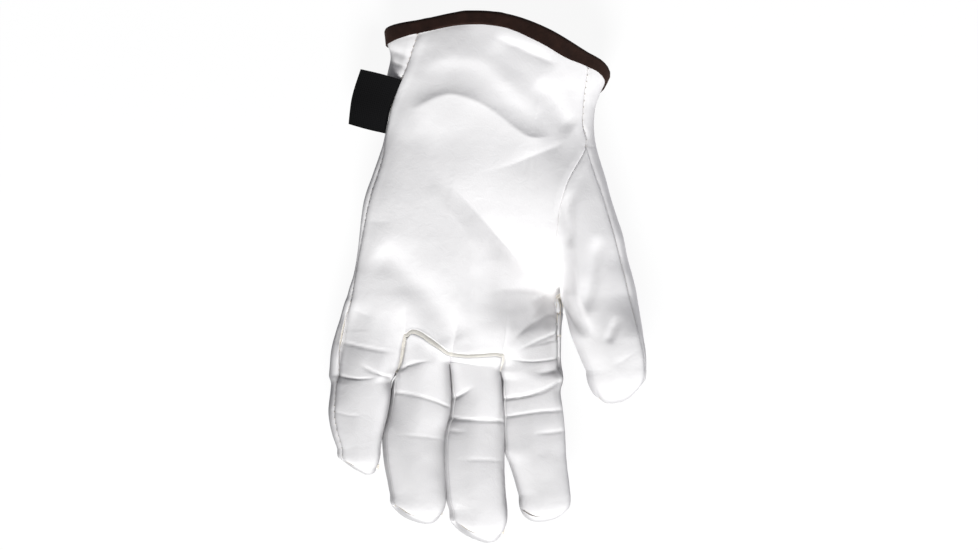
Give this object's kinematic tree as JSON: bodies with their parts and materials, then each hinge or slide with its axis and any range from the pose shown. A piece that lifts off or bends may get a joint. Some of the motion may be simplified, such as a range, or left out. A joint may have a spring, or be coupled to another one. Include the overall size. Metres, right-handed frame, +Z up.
{
  "type": "leather driver glove",
  "caption": "Pale leather driver glove for the left hand, lying palm up, hollow and open at the wrist, with bound cuff and side label.",
  "frame": {"origin": "on the surface under the middle of the box", "axes": "+Y to the cuff, +X to the thumb, +Z up from the palm"},
  "size_m": [0.1516, 0.2534, 0.0431],
  "materials": {
    "leather": "smooth grain, matt sheen",
    "back": "smooth grain, matt",
    "welt": "raw cream edge",
    "suede": "napped brown",
    "ribbon": "fine woven, matt"
  },
  "bodies": {
    "root": {"palm_panel": "leather", "back_panel": "back", "ring_finger_front": "leather", "middle_finger_front": "leather", "little_ring_fourchette": "back", "ring_middle_fourchette": "back", "middle_index_fourchette": "back", "thumb_front": "leather", "thumb_back": "back", "finger_welt": "welt", "cuff_binding": "suede", "label_tag": "ribbon"}
  },
  "joints": []
}
